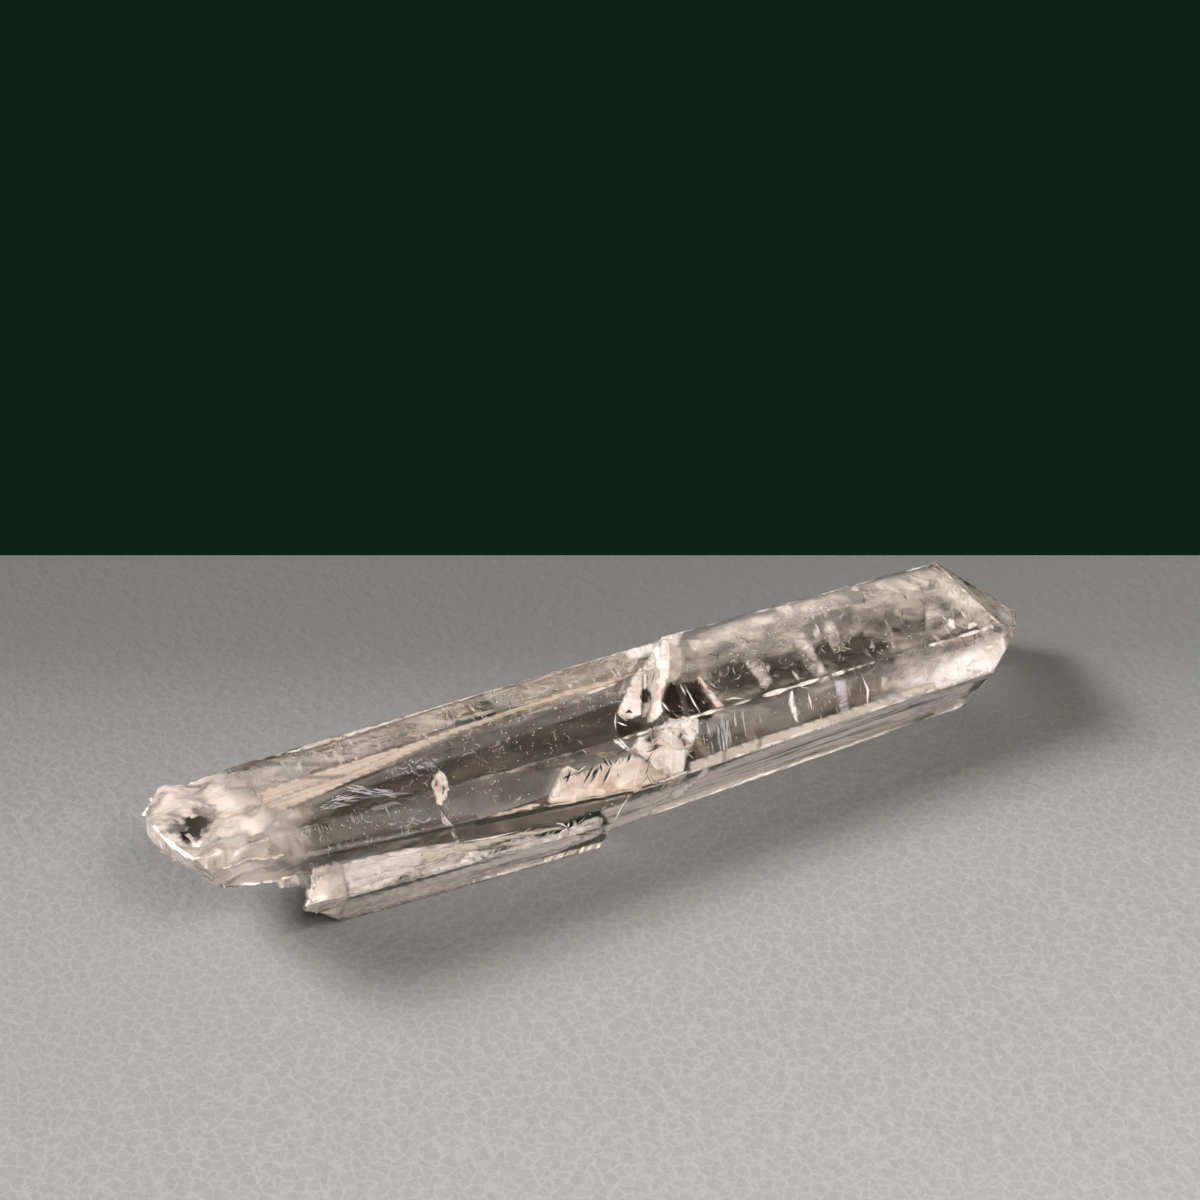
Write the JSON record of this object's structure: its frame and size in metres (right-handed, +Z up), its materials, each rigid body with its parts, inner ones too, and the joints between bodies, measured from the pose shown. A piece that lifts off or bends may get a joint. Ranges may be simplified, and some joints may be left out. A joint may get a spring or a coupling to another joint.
{
  "type": "quartz crystal point",
  "caption": "Clear quartz crystal point lying on a prism face, with flat prism and pyramid faces, a low parallel crystal along one side and a rough milky broken root.",
  "frame": {"origin": "bottom centre of the bounding box, on the surface that the crystal lies on", "axes": "+X along the crystal's long axis towards its point, +Z up from the prism face it rests on"},
  "size_m": [0.0902, 0.0184, 0.0137],
  "materials": {
    "clear_quartz": "clear and glossy on the crystal faces, frosted and milky at the broken root"
  },
  "bodies": {
    "root": {"quartz_crystal": "clear_quartz"}
  },
  "joints": []
}
